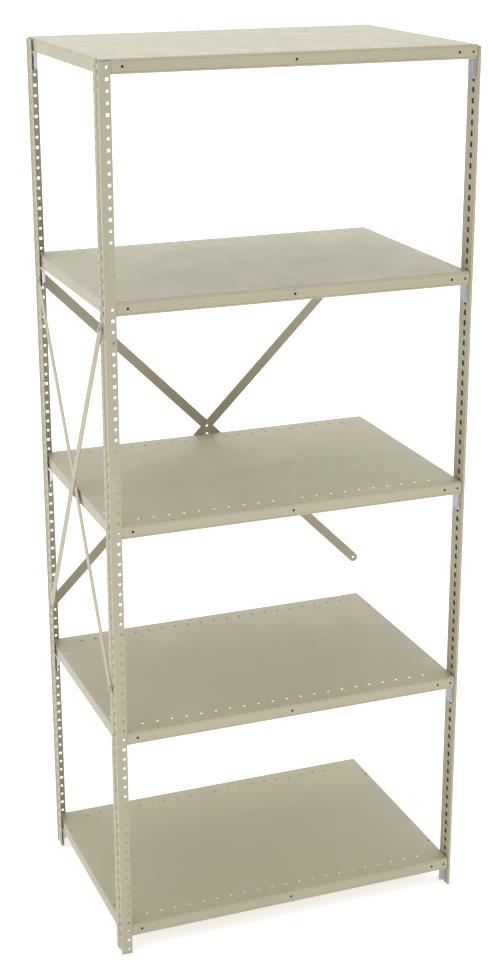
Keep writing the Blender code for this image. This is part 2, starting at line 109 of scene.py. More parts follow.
# Clips.
CLIP_GAUGE = 0.0015
CLIP_DROP = 0.0457
CLIP_BEND = 0.0020
CLIP_SHOULDER = 0.0050
CLIP_REACH = 0.0508
CLIP_FRONT_TAB = 0.0090
CLIP_REAR_TAB = 0.0200
CLIP_REAR_STANDOFF = 0.0036
BOX_CLIP_START = 0.0089
BOX_CLIP_BEND = 0.0240
BOX_CLIP_WING = 0.0132
CLIP_CORNER = 0.0050
LUG_THICKNESS = 0.0024
LUG_HEIGHTS = (0.0090, 0.0040)

# Braces and their bolts.
BRACE_WIDTH = 1 * INCH
BRACE_GAUGE = 0.0020
BRACE_HOLE = 0.0071
BRACE_POST_HOLES = (23, 58)
BRACE_END_FLAT = 0.0400
BRACE_CROSS_FLAT = 0.0300
BOLT_DIAMETER = 0.0050
BOLT_HEAD_WIDTH = 0.0090
BOLT_HEAD_HEIGHT = 0.0020
THREAD_PITCH = 0.0008
THREAD_DEPTH = 0.0004
NUT_WIDTH = 0.0088
NUT_HEIGHT = 0.0036
BOLT_PROUD = 0.0015
BOLT_SIDES = 28
HEAD_STEPS = 6
HEAD_RIM = 0.25
DRIVE_SLOT_WIDTH = 0.0010
DRIVE_SLOT_DEPTH = 0.0009
THREAD_STEPS = 6
NUT_SIDES = 36
BOLT_SHARP = math.radians(35)

# How finely the meshes are made.
BEND_STEPS = 6
HOLE_SIDES = 20
SMALL_HOLE_SIDES = 14
CORNER_STEPS = 3
EDGE_ROUND = 0.00022
EDGE_STEPS = 2
EDGE_ANGLE = math.radians(40)
WELD = 0.000002

# The studio: how bright its front and back walls are, and the two soft lamps.
POST_COLOUR = (0.382, 0.354, 0.250)
SHELF_COLOUR = (0.392, 0.363, 0.252)
BRACE_COLOUR = (0.378, 0.350, 0.247)
ZINC_COLOUR = (0.55, 0.54, 0.57)
FLOOR_GREY = 0.80
FLOOR_GLOW = 0.55
FLOOR_HALF = 40.0
FLOOR_DROP = -0.0005
WORLD_FRONT = 0.75
WORLD_BACK = 1.46
OVERHEAD_PLACE, OVERHEAD_TARGET = (-0.3, 1.4, 5.0), (0.0, 0.2, 1.0)
OVERHEAD_SIZE = (3.0, 2.0)
OVERHEAD_WATTS = 24.0
FRONT_PLACE, FRONT_TARGET = (0.2, -2.4, 0.5), (0.1, 0.0, 0.6)
FRONT_SIZE = (1.6, 0.6)
FRONT_WATTS = 4.0

# The camera, set to the photograph's viewing angle.
CAMERA_FROM_CORNER = (-1.1193, -3.7546, 2.5976)
CAMERA_TURN = math.radians(-20.9475)
CAMERA_TILT = math.radians(-18.311)
CAMERA_ROLL = math.radians(-0.172)
CAMERA_LENS = 66.125
CAMERA_SHIFT = (0.00938, -0.02564)


def hole_height(index):
    """The height of a post's face hole, counted down from the top."""
    return POST_HEIGHT - PITCH * (index + 0.5)


def slot_height(index):
    """The height of a post's side slot, half a pitch off the face holes."""
    return POST_HEIGHT - PITCH * index


# Outlines ----------------------------------------------------------------------------------------

def circle(x, y, diameter, sides):
    step = 2 * math.pi / sides
    radius = diameter / 2
    return [(x + radius * math.cos(step * i), y + radius * math.sin(step * i))
            for i in range(sides)]


def rounded_rectangle(x, y, width, height, radius):
    points = []
    for quarter, (side_x, side_y) in enumerate(((1, 1), (-1, 1), (-1, -1), (1, -1))):
        centre_x = x + side_x * (width / 2 - radius)
        centre_y = y + side_y * (height / 2 - radius)
        for i in range(CORNER_STEPS + 1):
            angle = math.pi / 2 * (quarter + i / CORNER_STEPS)
            points.append((centre_x + radius * math.cos(angle),
                           centre_y + radius * math.sin(angle)))
    return points


def rounded_path(points, radius):
    """An open path of 2-D points with every inner corner turned into an arc."""
    path = [Vector(points[0])]
    for before, corner, after in zip(points, points[1:], points[2:]):
        corner = Vector(corner)
        back = (Vector(before) - corner).normalized()
        ahead = (Vector(after) - corner).normalized()
        half = back.angle(ahead) / 2
        start = corner + back * (radius / math.tan(half))
        centre = corner + (back + ahead).normalized() * (radius / math.sin(half))
        arm = start - centre
        sweep = math.pi - 2 * half
        turn = 1 if back.x * ahead.y - back.y * ahead.x < 0 else -1
        for i in range(BEND_STEPS + 1):
            arm_turned = arm.copy()
            arm_turned.rotate(Matrix.Rotation(turn * sweep * i / BEND_STEPS, 2))
            path.append(centre + arm_turned)
    path.append(Vector(points[-1]))
    return path


def fill_flat(outline, holes, folds=()):
    """Points and triangles of a flat outline with convex holes.

    folds are pairs of outline points that an edge must join.
    """
    points, edges, owner = [], list(folds), []
    for number, loop in enumerate([outline] + holes):
        start, count = len(points), len(loop)
        points += [Vector(p) for p in loop]
        owner += [number] * count
        edges += [(start + i, start + (i + 1) % count) for i in range(count)]
    made, _, faces, sources, _, _ = delaunay_2d_cdt(points, edges, [], 1, 1e-7)
    loops = [owner[s[0]] if s else 0 for s in sources]
    kept = []
    for face in faces:
        numbers = {loops[v] for v in face}
        if len(numbers) > 1 or numbers == {0}:
            kept.append(tuple(face))
    return [(p.x, p.y) for p in made], kept


# Meshes ------------------------------------------------------------------------------------------

class Surface:
    """Faces in space, gathered part by part and then welded."""

    def __init__(self):
        self.points = []
        self.faces = []

    def add(self, points, faces):
        start = len(self.points)
        self.points += [tuple(p) for p in points]
        self.faces += [tuple(start + v for v in face) for face in faces]

    def mesh(self, name):
        mesh = bpy.data.meshes.new(name)
        mesh.from_pydata(self.points, [], self.faces)
        bm = bmesh.new()
        bm.from_mesh(mesh)
        bmesh.ops.remove_doubles(bm, verts=bm.verts, dist=WELD)
        bmesh.ops.recalc_face_normals(bm, faces=bm.faces)
        bm.to_mesh(mesh)
        bm.free()
        return mesh


def applied(obj):
    """The mesh that an object's modifiers make.  The object is removed."""
    graph = bpy.context.evaluated_depsgraph_get()
    mesh = bpy.data.meshes.new_from_object(obj.evaluated_get(graph))
    mesh.name = obj.name
    bpy.data.objects.remove(obj)
    return mesh


def on_scene(name, mesh):
    obj = bpy.data.objects.new(name, mesh)
    bpy.context.scene.collection.objects.link(obj)
    return obj


def thicken(mesh, gauge, offset=0.0):
    obj = on_scene(mesh.name, mesh)
    solidify = obj.modifiers.new("Gauge", "SOLIDIFY")
    solidify.thickness = gauge
    solidify.offset = offset
    solidify.use_even_offset = True
    return applied(obj)


def boolean(mesh, tool, operation):
    obj = on_scene(mesh.name, mesh)
    other = on_scene("tool", tool)
    cut = obj.modifiers.new("Boolean", "BOOLEAN")
    cut.operation = operation
    cut.object = other
    cut.solver = "EXACT"
    made = applied(obj)
    bpy.data.objects.remove(other)
    return made


def round_edges(mesh, width=EDGE_ROUND):
    """Rounds the sharp edges, as a coat of enamel does, and shades flat faces flat."""
    mesh.shade_smooth()
    obj = on_scene(mesh.name, mesh)
    bevel = obj.modifiers.new("Edges", "BEVEL")
    bevel.width = width
    bevel.segments = EDGE_STEPS
    bevel.limit_method = "ANGLE"
    bevel.angle_limit = EDGE_ANGLE
    bevel.use_clamp_overlap = False
    bevel.loop_slide = False
    normals = obj.modifiers.new("Normals", "WEIGHTED_NORMAL")
    normals.keep_sharp = True
    return applied(obj)


def piece(name, mesh, material, nodes, place=(0.0, 0.0, 0.0)):
    """Puts a mesh in the scene as the piece that stands for these CAD nodes."""
    mesh = mesh.copy()
    mesh.transform(Matrix.Translation(place))
    mesh.materials.clear()
    mesh.materials.append(material)
    obj = on_scene(name, mesh)
    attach(obj, "root")
    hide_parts(*nodes)
    return obj


def along_at(path, x, y):
    """How far along a path its nearest point to (x, y) lies."""
    target, best, done = Vector((x, y)), None, 0.0
    for a, b in zip(path, path[1:]):
        run = (b - a).length
        t = min(max((target - a).dot(b - a) / run, 0.0), run)
        miss = (a.lerp(b, t / run) - target).length
        if best is None or miss < best[0]:
            best = (miss, done + t)
        done += run
    return best[1]


def path_length(path):
    return sum((b - a).length for a, b in zip(path, path[1:]))


def split_at(outline, cuts):
    """An outline with a point added wherever it crosses a cut, and the pair at each cut."""
    points = []
    for a, b in zip(outline, outline[1:] + outline[:1]):
        points.append(a)
        low, high = min(a[0], b[0]), max(a[0], b[0])
        for cut in sorted((c for c in cuts if low < c < high), reverse=a[0] > b[0]):
            t = (cut - a[0]) / (b[0] - a[0])
            points.append((cut, a[1] + t * (b[1] - a[1])))
    pairs = [tuple(i for i, p in enumerate(points) if p[0] == cut) for cut in cuts]
    return points, pairs


def folded_sheet(name, path, outline, holes, gauge, to_world):
    """A flat outline of (along, height) points with holes, folded along a plan path."""
    stops = [0.0]
    for a, b in zip(path, path[1:]):
        stops.append(stops[-1] + (b - a).length)
    outline, folds = split_at(outline, stops[1:-1])
    flat, faces = fill_flat(outline, holes, folds)

    def bend(along, height):
        i = 0
        while i < len(path) - 2 and along > stops[i + 1]:
            i += 1
        t = (along - stops[i]) / (stops[i + 1] - stops[i])
        return to_world(path[i].lerp(path[i + 1], t), height)

    surface = Surface()
    surface.add([bend(along, height) for along, height in flat], faces)
    return thicken(surface.mesh(name), gauge)


def ring_stack(rings):
    """A closed surface through rings of equally many points, capped at both ends."""
    surface = Surface()
    count = len(rings[0])
    points = [p for ring in rings for p in ring]
    faces = [tuple(range(count)), tuple(range(len(points) - count, len(points)))]
    for level in range(len(rings) - 1):
        for i in range(count):
            j = (i + 1) % count
            low, high = level * count, (level + 1) * count
            faces.append((low + i, low + j, high + j, high + i))
    surface.add(points, faces)
    return surface


def round_ring(radius, height, sides):
    return [(x, y, height) for x, y in circle(0.0, 0.0, 2 * radius, sides)]


# Posts -------------------------------------------------------------------------------------------

def face_holes(along):
    """The holes down a post's face: every third one is square, the others round."""
    holes = []
    for index in range(round(POST_HEIGHT / PITCH)):
        z = hole_height(index)
        if index % SQUARE_EVERY == 1:
            holes.append(rounded_rectangle(along, z, SQUARE_HOLE, SQUARE_HOLE, SQUARE_CORNER))
        else:
            holes.append(circle(along, z, ROUND_HOLE, HOLE_SIDES))
    return holes


def side_slots(along, width):
    """The whole slots down a post's side.  The two end ones are notches in the outline."""
    return [rounded_rectangle(along, slot_height(index), width, SLOT_HEIGHT, SLOT_CORNER)
            for index in range(1, round(POST_HEIGHT / PITCH))]


def side_holes(along):
    """The small round holes down a side wall, behind the slots."""
    return [circle(along, hole_height(index), SIDE_HOLE, SMALL_HOLE_SIDES)
            for index in range(round(POST_HEIGHT / PITCH))]


def post_outline(length, slot_along, width):
    """A post's flat pattern, with half a slot notched into each end."""
    left, right = slot_along - width / 2, slot_along + width / 2
    deep, corner = SLOT_HEIGHT / 2, SLOT_CORNER
    notch = [(left, 0.0), (left, deep - corner), (left + corner, deep),
             (right - corner, deep), (right, deep - corner), (right, 0.0)]
    lower = [(0.0, 0.0)] + notch + [(length, 0.0)]
    return lower + [(x, POST_HEIGHT - z) for x, z in reversed(lower)]


def angle_post(name, corner, inward):
    """An angle post.  Its outer corner is at corner, and its grooved side wall runs inward in Y."""
    width = FRONT_LEFT_HIGH.x - FRONT_LEFT_LOW.x
    depth = FRONT_LEFT_HIGH.y - FRONT_LEFT_LOW.y
    middle = POST_GAUGE / 2
    low, high = (POST_GAUGE + inset for inset in GROOVE_SPAN)
    deep = middle + GROOVE_DEPTH
    groove = [(middle, low), (deep, low + GROOVE_SLOPE),
              (deep, high - GROOVE_SLOPE), (middle, high)]
    corners = [(width, middle), (middle, middle)] + groove + [(middle, depth)]
    path = rounded_path(corners, POST_BEND - middle)
    hole_x = SHELF_LOW.x + CORNER_HOLE_INSET - corner[0]
    slot_along = along_at(path, deep, POST_GAUGE + SLOT_INSET)
    holes = face_holes(along_at(path, hole_x, middle)) + side_slots(slot_along, SLOT_WIDTH)
    holes += side_holes(along_at(path, middle, POST_GAUGE + SIDE_HOLE_INSET))

    def to_world(point, z):
        return (corner[0] + point.x, corner[1] + inward * point.y, z)

    outline = post_outline(path_length(path), slot_along, SLOT_WIDTH)
    return round_edges(folded_sheet(name, path, outline, holes, POST_GAUGE, to_world))


def box_post(name):
    """The narrow closed post: a folded tube, its seam outside and its slots inside."""
    width = BOX_POST_HIGH.x - BOX_POST_LOW.x
    depth = BOX_POST_HIGH.y - BOX_POST_LOW.y
    near, far, back = BOX_POST_GAUGE / 2, width - BOX_POST_GAUGE / 2, depth - BOX_POST_GAUGE / 2
    seam = depth * BOX_POST_SEAM_AT
    corners = [(far, seam + BOX_POST_SEAM / 2), (far, back), (near, back), (near, near),
               (far, near), (far, seam - BOX_POST_SEAM / 2)]
    path = rounded_path(corners, BOX_POST_BEND - near)
    slot_along = along_at(path, near, POST_GAUGE + SLOT_INSET)

    def to_world(point, z):
        return (BOX_POST_LOW.x + point.x, BOX_POST_LOW.y + point.y, z)

    outline = post_outline(path_length(path), slot_along, BOX_SLOT_WIDTH)
    holes = side_slots(slot_along, BOX_SLOT_WIDTH)
    return round_edges(folded_sheet(name, path, outline, holes, BOX_POST_GAUGE, to_world))


def make_posts(materials):
    front_left = angle_post("front_left_post", FRONT_LEFT_LOW.xy, 1)
    rear_left = angle_post("rear_left_post", (REAR_LEFT_LOW.x, REAR_LEFT_HIGH.y), -1)
    meshes = {"front_left_post": front_left, "rear_left_post": rear_left,
              "front_right_post": box_post("front_right_post")}
    for name, mesh in meshes.items():
        piece("steel_" + name, mesh, materials["post"], [name])


# Shelves -----------------------------------------------------------------------------------------

def shelf_ring(inset_x, inset_y, z, corner):
    """A rounded rectangle around the shelf, anticlockwise from the front left corner."""
    x0, x1 = inset_x, SHELF_WIDTH - inset_x
    y0, y1 = inset_y, SHELF_DEPTH - inset_y
    points = []
    for quarter, (x, y, side_x, side_y) in enumerate(
            ((x0, y0, 1, 1), (x1, y0, -1, 1), (x1, y1, -1, -1), (x0, y1, 1, -1))):
        for i in range(CORNER_STEPS + 1):
            angle = math.pi + math.pi / 2 * (quarter + i / CORNER_STEPS)
            points.append((x + side_x * corner + corner * math.cos(angle),
                           y + side_y * corner + corner * math.sin(angle), z))
    return points


def shelf_top_holes():
    """A row of small holes near the front and rear edges of the top, and two near each end."""
    places = []
    for i in range(TOP_HOLE_COUNT):
        x = SHELF_WIDTH / 2 + (i - (TOP_HOLE_COUNT - 1) / 2) * TOP_HOLE_PITCH
        places += [(x, TOP_HOLE_INSET), (x, SHELF_DEPTH - TOP_HOLE_INSET)]
    for x in (END_HOLE_INSET, SHELF_WIDTH - END_HOLE_INSET):
        places += [(x, END_HOLE_FROM_FRONT), (x, SHELF_DEPTH - END_HOLE_FROM_FRONT)]
    return [circle(x, y, TOP_HOLE, SMALL_HOLE_SIDES) for x, y in places]


def add_flange(surface, upper, lower, side):
    """The flat part of one flange, between two rings, with its bolt holes."""
    count = CORNER_STEPS + 1
    start, end = side * count + CORNER_STEPS, ((side + 1) * count) % len(upper)
    axis = side % 2
    fixed = upper[start][1 - axis]
    span = (SHELF_WIDTH, SHELF_DEPTH)[axis]
    places = [NEXT_HOLE_INSET, span - NEXT_HOLE_INSET]
    if axis == 0:
        places += [CORNER_HOLE_INSET, span / 2, span - CORNER_HOLE_INSET]
    outline = [(p[axis], p[2]) for p in (upper[start], lower[start], lower[end], upper[end])]
    holes = [circle(place, -HOLE_BELOW_TOP, SHELF_HOLE, HOLE_SIDES) for place in places]
    flat, faces = fill_flat(outline, holes)
    if axis == 0:
        surface.add([(along, fixed, z) for along, z in flat], faces)
    else:
        surface.add([(fixed, along, z) for along, z in flat], faces)


def upturn_notches():
    """Blocks that cut the upturned edges short at the four corners."""
    blocks = Surface()
    low, high = RETURN_WIDTH - 2 * SHELF_GAUGE, UPTURN_NOTCH
    bottom = -SHELF_HEIGHT + 1.5 * SHELF_GAUGE
    for x0, x1 in ((low, high), (SHELF_WIDTH - high, SHELF_WIDTH - low)):
        for y0, y1 in ((low, high), (SHELF_DEPTH - high, SHELF_DEPTH - low)):
            plan = ((x0, y0), (x1, y0), (x1, y1), (x0, y1))
            block = ring_stack([[(x, y, z) for x, y in plan] for z in (bottom, bottom + UPTURN)])
            blocks.add(block.points, block.faces)
    return blocks.mesh("notches")


def shelf_rings():
    """Rings around the shelf, from the edge of its top down to the upturned edge.

    The second value is the number of the ring that the flat part of the flange starts from.
    """
    turns = [math.pi / 2 * i / BEND_STEPS for i in range(BEND_STEPS + 1)]
    rings = []
    for turn in turns:
        inset = TOP_BEND * (1 - math.sin(turn))
        corner = SHARP_CORNER + (SHELF_CORNER - SHARP_CORNER) * math.sin(turn)
        rings.append(shelf_ring(inset, inset, -TOP_BEND * (1 - math.cos(turn)), corner))
    for drop, inset in zip(EDGE_LINE, (0.0, EDGE_LINE_DEPTH, EDGE_LINE_DEPTH, 0.0)):
        rings.append(shelf_ring(inset, inset, -TOP_BEND - drop, SHELF_CORNER))
    flange = len(rings) - 1
    undercut = LIP_RECESS + LIP_SHADOW
    for inset, drop in ((0.0, 0.0), (undercut, LIP_RECESS), (undercut, 2 * LIP_RECESS),
                        (LIP_RECESS, 3 * LIP_RECESS)):
        rings.append(shelf_ring(0.0, inset, -LIP_DROP - drop, SHELF_CORNER))
    for turn in turns:
        inset = LOWER_BEND * (1 - math.cos(turn))
        z = -SHELF_HEIGHT + LOWER_BEND * (1 - math.sin(turn))
        corner = SHARP_CORNER + (SHELF_CORNER - SHARP_CORNER) * math.cos(turn)
        rings.append(shelf_ring(inset, LIP_RECESS + inset, z, corner))
    for turn in turns:
        inset = RETURN_WIDTH - RETURN_BEND * (1 - math.sin(turn))
        z = -SHELF_HEIGHT + RETURN_BEND * (1 - math.cos(turn))
        rings.append(shelf_ring(inset, inset, z, SHARP_CORNER))
    rings.append(shelf_ring(RETURN_WIDTH, RETURN_WIDTH, -SHELF_HEIGHT + UPTURN, SHARP_CORNER))
    return rings, flange


def shelf_mesh():
    """A pan bent down on four sides, its lower lip set back, then in along the bottom, then up."""
    rings, flange = shelf_rings()
    surface = Surface()
    flat, faces = fill_flat([(x, y) for x, y, _ in rings[0]], shelf_top_holes())
    surface.add([(x, y, 0.0) for x, y in flat], faces)
    count = len(rings[0])
    for level, (upper, lower) in enumerate(zip(rings, rings[1:])):
        for i in range(count):
            j = (i + 1) % count
            straight = i % (CORNER_STEPS + 1) == CORNER_STEPS
            if level == flange and straight:
                add_flange(surface, upper, lower, i // (CORNER_STEPS + 1))
            else:
                surface.add([upper[i], lower[i], lower[j], upper[j]], [(0, 1, 2, 3)])
    mesh = surface.mesh("shelf")
    if max(mesh.polygons, key=lambda face: face.area).normal.z < 0:
        mesh.flip_normals()
    sheet = thicken(mesh, SHELF_GAUGE, -1.0)
    return round_edges(boolean(sheet, upturn_notches(), "DIFFERENCE"))


def make_shelves(materials):
    mesh = shelf_mesh()
    for level in range(1, LEVELS + 1):
        low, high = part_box(f"shelf_{level}")
        piece(f"steel_shelf_{level}", mesh, materials["shelf"], [f"shelf_{level}"],
              (low.x, low.y, high.z))


# Clips -------------------------------------------------------------------------------------------

def add_lugs(surface, to_world, lug_v):
    """Two hooks that reach through the post's slots."""
    clip_top = HOLE_BELOW_TOP - SHELF_HEIGHT - GAP
    upper_lug = -1.5 * PITCH - clip_top
    lower_lug = upper_lug - PITCH + SLOT_HEIGHT / 2 - GAP - LUG_HEIGHTS[1] / 2
    for z, height in zip((upper_lug, lower_lug), LUG_HEIGHTS):
        outer, root = -POST_GAUGE, GAP + CLIP_GAUGE / 2
        front, rear = lug_v - LUG_THICKNESS / 2, lug_v + LUG_THICKNESS / 2
        plan = [Vector(p) for p in ((outer, front), (root, front), (root, rear), (outer, rear))]
        low = [to_world(p, z - height / 2) for p in plan]
        high = [to_world(p, z + height / 2) for p in plan]
        box = ring_stack([low, high])
        surface.add(box.points, box.faces)


def clip_mesh(name, plan, start_cut, end_cut, shoulder, to_world):
    """A bent strip with its lower corners cut off, and hooks.  Its top is at z = 0."""
    path = rounded_path(plan, CLIP_BEND)
    length = path_length(path)
    slope_from = along_at(path, *plan[-2])
    outline = [(0.0, -CLIP_DROP + start_cut), (start_cut / 3, -CLIP_DROP + start_cut / 3),
               (start_cut, -CLIP_DROP), (length - end_cut, -CLIP_DROP),
               (length - end_cut / 3, -CLIP_DROP + end_cut / 3), (length, -CLIP_DROP + end_cut),
               (length, -shoulder), (slope_from + CLIP_BEND, 0.0), (0.0, 0.0)]
    if shoulder == 0.0:
        outline.pop(-2)
    strip = folded_sheet(name, path, outline, [], CLIP_GAUGE, to_world)
    lugs = Surface()
    add_lugs(lugs, to_world, SLOT_INSET)
    return round_edges(boolean(strip, lugs.mesh("lugs"), "UNION"))


def make_clips(materials):
    side_x = FRONT_LEFT_LOW.x + POST_GAUGE + GROOVE_DEPTH
    front_y = FRONT_LEFT_LOW.y + POST_GAUGE
    rear_y = REAR_LEFT_HIGH.y - POST_GAUGE
    near, stand = GAP + CLIP_GAUGE / 2, CLIP_REAR_STANDOFF

    def front_left(point, z):
        return (side_x + point.x, front_y + point.y, z)

    def rear_left(point, z):
        return (side_x + point.x, rear_y - point.y, z)

    def front_right(point, z):
        return (BOX_POST_LOW.x - point.x, front_y + point.y, z)

    cut = CLIP_CORNER
    front_plan = [(CLIP_FRONT_TAB, near), (near, near), (near, CLIP_REACH)]
    rear_plan = [(CLIP_REAR_TAB, stand), (near, stand), (near, CLIP_REACH)]
    box_plan = [(near, BOX_CLIP_START), (near, BOX_CLIP_BEND), (BOX_CLIP_WING, BOX_CLIP_BEND)]
    shoulder = CLIP_SHOULDER
    meshes = {"front_left": clip_mesh("clip_fl", front_plan, cut / 2, cut, shoulder, front_left),
              "rear_left": clip_mesh("clip_rl", rear_plan, cut / 2, cut, shoulder, rear_left),
              "front_right": clip_mesh("clip_fr", box_plan, cut / 4, cut, 0.0, front_right)}
    for level in range(1, LEVELS + 1):
        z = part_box(f"shelf_{level}")[0].z - GAP
        for corner, mesh in meshes.items():
            name = f"clip_{level}_{corner}"
            piece("zinc_" + name, mesh, materials["zinc"], [name], (0.0, 0.0, z))


# Braces ------------------------------------------------------------------------------------------

def strap_mesh(name, start, end, out, bow):
    """A flat strap between two bolt centres.  bow lifts its middle away from the posts."""
    start, out = Vector(start), Vector(out)
    run = Vector(end) - start
    length, along = run.length, run.normalized()
    across = out.cross(along)
    radius, middle = BRACE_WIDTH / 2, length / 2
    path = [Vector(p) for p in (
        (-radius, 0.0), (BRACE_END_FLAT, 0.0), (middle - BRACE_CROSS_FLAT, bow),
        (middle + BRACE_CROSS_FLAT, bow), (length - BRACE_END_FLAT, 0.0), (length + radius, 0.0))]
    total = path_length(path)
    outline = []
    for centre, first in ((radius, math.pi / 2), (total - radius, -math.pi / 2)):
        for i in range(HOLE_SIDES + 1):
            angle = first + math.pi * i / HOLE_SIDES
            outline.append((centre + radius * math.cos(angle), radius * math.sin(angle)))
    holes = [circle(along_at(path, s, lift), 0.0, BRACE_HOLE, HOLE_SIDES)
             for s, lift in ((0.0, 0.0), (middle, bow), (length, 0.0))]

    def to_world(point, height):
        return start + along * point.x + out * (point.y + BRACE_GAUGE / 2) + across * height

    return round_edges(folded_sheet(name, path, outline, holes, BRACE_GAUGE, to_world))


def make_braces(materials):
    """Crossed straps behind the posts and outside the left end.

    The right ends of the back pair are free.
    """
    upper, lower = (hole_height(index) for index in BRACE_POST_HOLES)
    left, right = SHELF_LOW.x + CORNER_HOLE_INSET, SHELF_HIGH.x - CORNER_HOLE_INSET
    front = FRONT_LEFT_LOW.y + POST_GAUGE + SIDE_HOLE_INSET
    rear = REAR_LEFT_HIGH.y - POST_GAUGE - SIDE_HOLE_INSET
    x, y = FRONT_LEFT_LOW.x - GAP, REAR_LEFT_HIGH.y + GAP
    clear = BRACE_GAUGE + 2 * GAP
    back, side = (0.0, 1.0, 0.0), (-1.0, 0.0, 0.0)
    straps = {"back_brace_rising": ((left, y, lower), (right, y, upper), back, 0.0),
              "back_brace_falling": ((left, y, upper), (right, y, lower), back, clear),
              "side_brace_rising": ((x, front, lower), (x, rear, upper), side, -clear / 2),
              "side_brace_falling": ((x, front, upper), (x, rear, lower), side, clear / 2)}
    for name, (start, end, out, bow) in straps.items():
        mesh = strap_mesh(name, start, end, out, bow)
        piece("steel_" + name, mesh, materials["brace"], [name])


# Bolts and nuts ----------------------------------------------------------------------------------

def turned(mesh, axis):
    """A copy of a mesh made along Z, turned to run along axis."""
    mesh = mesh.copy()
    mesh.transform(Vector((0, 0, 1)).rotation_difference(Vector(axis)).to_matrix().to_4x4())
    return mesh


def thread_ring(height, sides, taper=0.0):
    """One ring of a screw thread: its radius falls away from the crest with height and angle."""
    points = []
    for i in range(sides):
        phase = (height / THREAD_PITCH - i / sides) % 1.0
        depth = THREAD_DEPTH * (1 - taper / BOLT_DIAMETER) * abs(2 * phase - 1)
        radius = BOLT_DIAMETER / 2 - taper - depth
        angle = 2 * math.pi * i / sides
        points.append((radius * math.cos(angle), radius * math.sin(angle), height))
    return points


def bolt_mesh(grip):
    """A slotted round-headed bolt.

    Its head's underside is at the origin and its shank runs up Z.
    """
    sides = BOLT_SIDES
    head = BOLT_HEAD_WIDTH / 2
    rings = []
    for i in range(1, HEAD_STEPS + 1):
        turn = math.pi / 2 * i / HEAD_STEPS
        height = -BOLT_HEAD_HEIGHT * (HEAD_RIM + (1 - HEAD_RIM) * math.cos(turn))
        rings.append(round_ring(head * math.sin(turn), height, sides))
    rings.append(round_ring(head, 0.0, sides))
    rings.append(round_ring(BOLT_DIAMETER / 2, 0.0, sides))
    reach = GAP + grip + NUT_HEIGHT + BOLT_PROUD
    z = GAP + POST_GAUGE
    rings.append(round_ring(BOLT_DIAMETER / 2, z, sides))
    step = THREAD_PITCH / THREAD_STEPS
    while z < reach - 2 * THREAD_DEPTH:
        z += step
        rings.append(thread_ring(z, sides))
    rings.append(thread_ring(reach, sides, THREAD_DEPTH))
    mesh = ring_stack(rings).mesh("bolt")
    plan = [(x * head * 1.2, y * DRIVE_SLOT_WIDTH / 2)
            for x, y in ((-1, -1), (1, -1), (1, 1), (-1, 1))]
    slot = ring_stack([[(x, y, z) for x, y in plan]
                       for z in (-BOLT_HEAD_HEIGHT * 1.5, -BOLT_HEAD_HEIGHT + DRIVE_SLOT_DEPTH)])
    mesh = boolean(mesh, slot.mesh("slot"), "DIFFERENCE")
    mesh.shade_smooth()
    mesh.set_sharp_from_angle(angle=BOLT_SHARP)
    return mesh


def nut_mesh():
    """A hexagon nut with chamfered corners and a countersunk bore, standing along Z."""
    sides, across = NUT_SIDES, NUT_WIDTH / math.cos(math.pi / 6)
    prism = ring_stack([[(x, y, z) for x, y in circle(0.0, 0.0, across, 6)]
                        for z in (0.0, NUT_HEIGHT)])
    chamfer = (across - NUT_WIDTH) / 2
    lens = ring_stack([round_ring(r, z, sides) for r, z in (
        (NUT_WIDTH / 2, -GAP / 10), (across / 2 + GAP, chamfer * 0.6),
        (across / 2 + GAP, NUT_HEIGHT - chamfer * 0.6), (NUT_WIDTH / 2, NUT_HEIGHT + GAP / 10))])
    bore = BOLT_DIAMETER / 2 + GAP
    sink = THREAD_DEPTH
    hole = ring_stack([round_ring(r, z, sides) for r, z in (
        (bore + 2 * sink, -sink), (bore, sink),
        (bore, NUT_HEIGHT - sink), (bore + 2 * sink, NUT_HEIGHT + sink))])
    mesh = boolean(prism.mesh("nut"), lens.mesh("lens"), "INTERSECT")
    return round_edges(boolean(mesh, hole.mesh("bore"), "DIFFERENCE"), EDGE_ROUND / 2)


def make_fasteners(materials):
    """Bolts that clamp each brace end to its post, heads inside the posts and nuts outside."""
    grip = POST_GAUGE + GAP + BRACE_GAUGE + GAP
    bolt, nut = bolt_mesh(grip), nut_mesh()
    upper, lower = (hole_height(index) for index in BRACE_POST_HOLES)
    inner_x = FRONT_LEFT_LOW.x + POST_GAUGE
    inner_y = REAR_LEFT_HIGH.y - POST_GAUGE
    front = FRONT_LEFT_LOW.y + POST_GAUGE + SIDE_HOLE_INSET
    rear = REAR_LEFT_HIGH.y - POST_GAUGE - SIDE_HOLE_INSET
    places = {}
    for height, z in (("upper", upper), ("lower", lower)):
        for end, y in (("front", front), ("rear", rear)):
            places[f"side_{{}}_{end}_{height}"] = ((inner_x + GAP, y, z), (-1, 0, 0))
        x = SHELF_LOW.x + CORNER_HOLE_INSET
        places[f"back_{{}}_{height}"] = ((x, inner_y - GAP, z), (0, 1, 0))
    for pattern, (head, axis) in places.items():
        seat = Vector(head) + Vector(axis) * (GAP + grip)
        for kind, mesh, place in (("bolt", bolt, head), ("nut", nut, seat)):
            name = pattern.format(kind)
            piece("zinc_" + name, turned(mesh, axis), materials["zinc"],
                  [name], place)


# Materials ---------------------------------------------------------------------------------------

